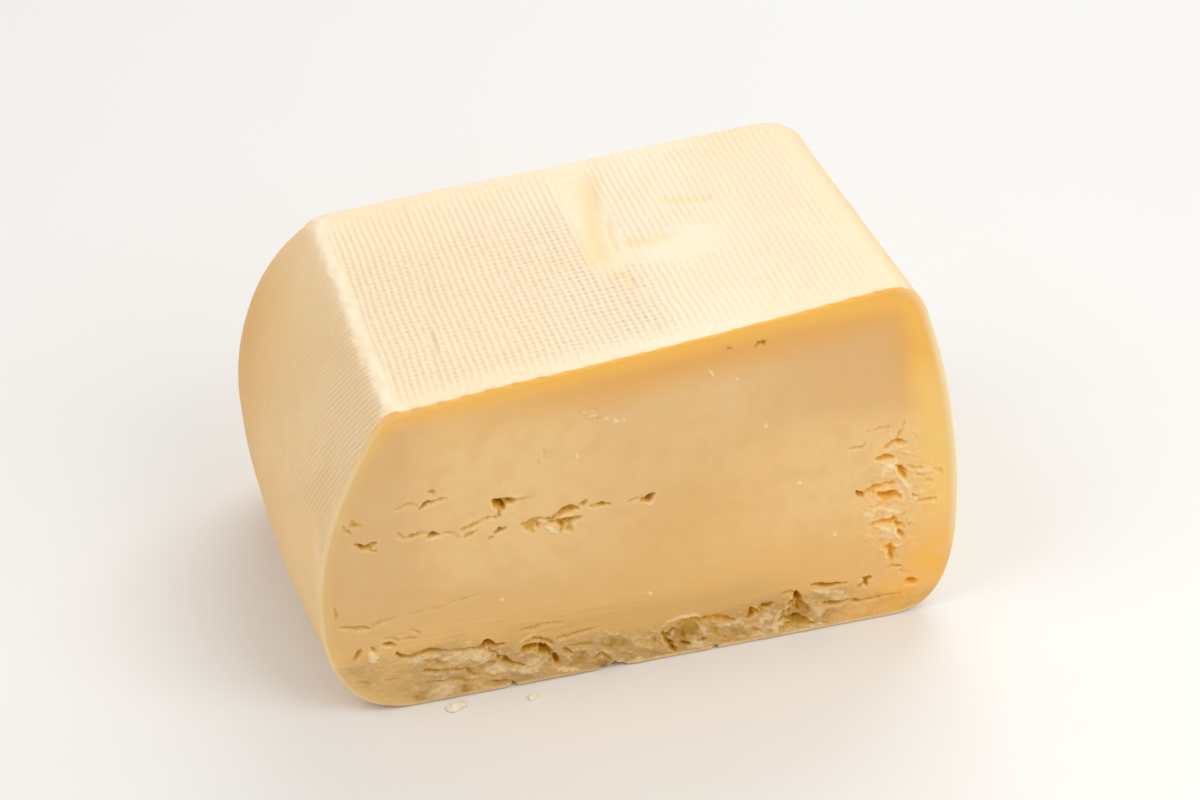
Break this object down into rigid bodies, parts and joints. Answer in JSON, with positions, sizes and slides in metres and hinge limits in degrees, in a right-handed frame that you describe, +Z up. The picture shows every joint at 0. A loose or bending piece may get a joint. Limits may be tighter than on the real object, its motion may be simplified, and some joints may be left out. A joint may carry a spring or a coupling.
{
  "type": "cut piece of butterkase cheese",
  "caption": "End piece of a cloth-pressed block of mild semi-soft cheese, with bellied sides, a flat leaning top and a flat cut face with torn openings.",
  "frame": {"origin": "middle of the piece seen from above, on the surface that it rests on", "axes": "+X along the width of the cut face, towards the taller rounded shoulder; +Y from the cut face to the loaf's own end; +Z up"},
  "size_m": [0.1392, 0.0918, 0.0831],
  "materials": {
    "cheese": "pale cream rind with a fine cloth imprint, and a smooth, slightly moist butter-yellow cut face"
  },
  "bodies": {
    "root": {"cheese": "cheese"}
  },
  "joints": []
}
